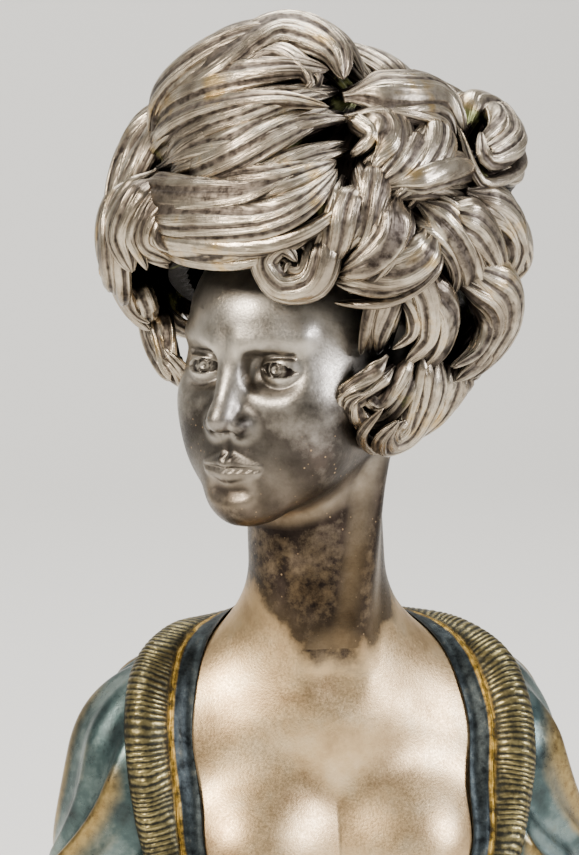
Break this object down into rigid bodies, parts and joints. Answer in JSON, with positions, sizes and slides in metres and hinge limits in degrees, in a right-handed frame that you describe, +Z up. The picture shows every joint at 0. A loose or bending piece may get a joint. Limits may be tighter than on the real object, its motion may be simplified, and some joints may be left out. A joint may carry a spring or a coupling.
{
  "type": "bronze portrait bust statuette",
  "caption": "Cast bronze bust of a draped woman with turned head and loose curled hair, on a turned marble socle with a felted foot.",
  "frame": {"origin": "centre of the felt's underside, where the socle stands", "axes": "+Z up through the socle, -Y to the front of the chest, +X to the figure's left"},
  "size_m": [0.0902, 0.0654, 0.2118],
  "materials": {
    "flesh": "polished bronze with silvered and tarnished flesh",
    "hair": "chased bronze, brown-gold with dark recesses",
    "robe": "blue-green cold patina rubbed through to gold on the edges",
    "collar": "chased and gilt bronze",
    "inner_bronze": "turned bronze, left bright",
    "dowel": "drawn bronze wire",
    "neck_ring": "turned and lacquered bronze",
    "steel": "plain steel, lightly oiled",
    "marble": "polished dark green marble with pale veins",
    "felt": "dark wool felt, glued on"
  },
  "bodies": {
    "root": {"head_shell": "flesh", "neck_sleeve": "inner_bronze", "neck_pins": "dowel", "torso_shell": "flesh", "robe_shell": "robe", "collar_roll": "collar", "robe_pins": "dowel", "hair_dowels": "dowel", "hair_cap": "hair", "crown_knot": "hair", "crown_waves": "hair", "fringe_lock": "hair", "forehead_curl": "hair", "right_temple_locks": "hair", "right_jaw_curl": "hair", "parting_waves": "hair", "left_crown_roll": "hair", "left_knob_curl": "hair", "left_side_waves": "hair", "left_outer_lock": "hair", "left_face_lock": "hair", "left_low_curls": "hair", "back_locks": "hair", "nape_curls": "hair", "far_side_locks": "hair", "mounting_plate": "steel", "tie_rod": "steel", "upper_nut": "steel", "socle_spacer": "neck_ring", "socle_column": "marble", "socle_plinth": "marble", "washer": "steel", "lower_nut": "steel", "felt_pad": "felt"}
  },
  "joints": []
}
